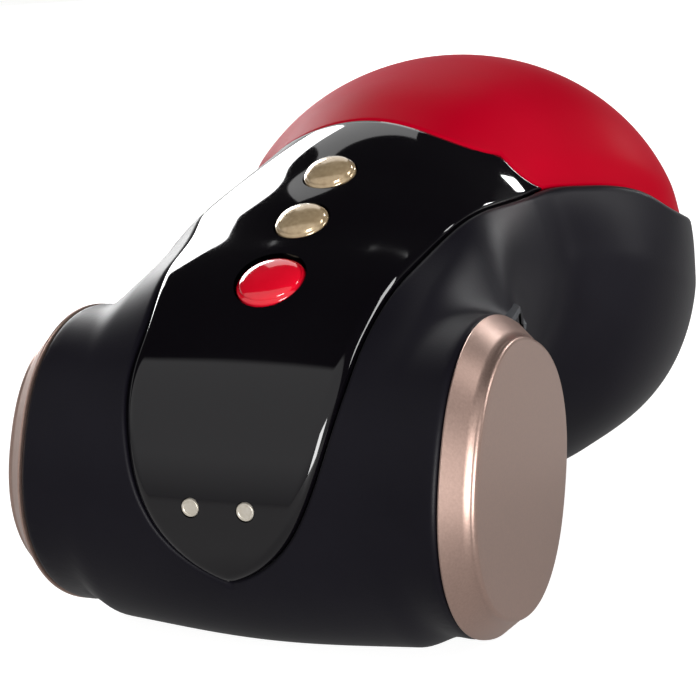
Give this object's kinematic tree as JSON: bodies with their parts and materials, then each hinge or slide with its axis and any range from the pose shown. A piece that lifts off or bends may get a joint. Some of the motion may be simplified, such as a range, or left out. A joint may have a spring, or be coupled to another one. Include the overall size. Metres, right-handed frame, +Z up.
{
  "type": "personal massager",
  "caption": "Hand-held rechargeable massager with a barrel handle, capped ends, a gloss button hood and a domed head that holds a soft open cup.",
  "frame": {"origin": "under the middle of the object's box, on the surface it stands on", "axes": "+Z up, +Y from the barrel handle towards the cup's open end, +X to the right seen from the handle end"},
  "size_m": [0.0924, 0.134, 0.0842],
  "materials": {
    "silicone": "satin black soft-touch silicone with a faint violet sheen",
    "cup": "satin dark red silicone",
    "hood": "high-gloss black plastic",
    "dome": "matte soft-touch red plastic",
    "cap": "satin champagne metallic paint",
    "red_button": "glossy red plastic",
    "gold_button": "glossy champagne plastic",
    "contact": "pale nickel plating",
    "inner_plastic": "matte dark grey plastic",
    "steel": "plain bright steel",
    "board": "green solder mask",
    "battery": "blue shrink sleeve",
    "magnet": "nickel-plated magnet",
    "brass": "turned brass"
  },
  "bodies": {
    "body": {"silicone_skin": "silicone", "inner_shell": "inner_plastic", "hood_panel": "hood", "dome_shell": "dome", "left_end_cap": "cap", "right_end_cap": "cap", "left_end_plate": "inner_plastic", "right_end_plate": "inner_plastic", "button_switches": "steel", "circuit_board": "board", "board_screws": "steel", "charge_contacts": "contact", "contact_block": "inner_plastic", "charge_magnets": "magnet", "battery_cell": "battery", "battery_holder": "inner_plastic", "core_frame": "inner_plastic", "plate_screws": "steel", "cup_liner": "cup", "mouth_ring": "silicone", "left_motor": "steel", "right_motor": "steel", "left_motor_cradle": "inner_plastic", "right_motor_cradle": "inner_plastic"},
    "power": {"power_button": "red_button"},
    "plus": {"plus_button": "gold_button"},
    "minus": {"minus_button": "gold_button"},
    "left_rotor": {"left_motor_weight": "brass"},
    "right_rotor": {"right_motor_weight": "brass"}
  },
  "joints": [
    {"name": "power_press", "type": "slide", "parent": "body", "child": "power", "axis": [0, -0.4648, 0.8854], "range_m": [-0.0006, 0], "stiffness_N_per_m": 600},
    {"name": "plus_press", "type": "slide", "parent": "body", "child": "plus", "axis": [0, -0.4648, 0.8854], "range_m": [-0.0006, 0], "stiffness_N_per_m": 600},
    {"name": "minus_press", "type": "slide", "parent": "body", "child": "minus", "axis": [0, -0.4648, 0.8854], "range_m": [-0.0006, 0], "stiffness_N_per_m": 600},
    {"name": "left_motor_spin", "type": "hinge", "parent": "body", "child": "left_rotor", "pos_m": [-0.0311, 0.046, 0.0416], "axis": [0, 1, 0], "continuous": true},
    {"name": "right_motor_spin", "type": "hinge", "parent": "body", "child": "right_rotor", "pos_m": [0.0311, 0.046, 0.0416], "axis": [0, 1, 0], "continuous": true}
  ]
}
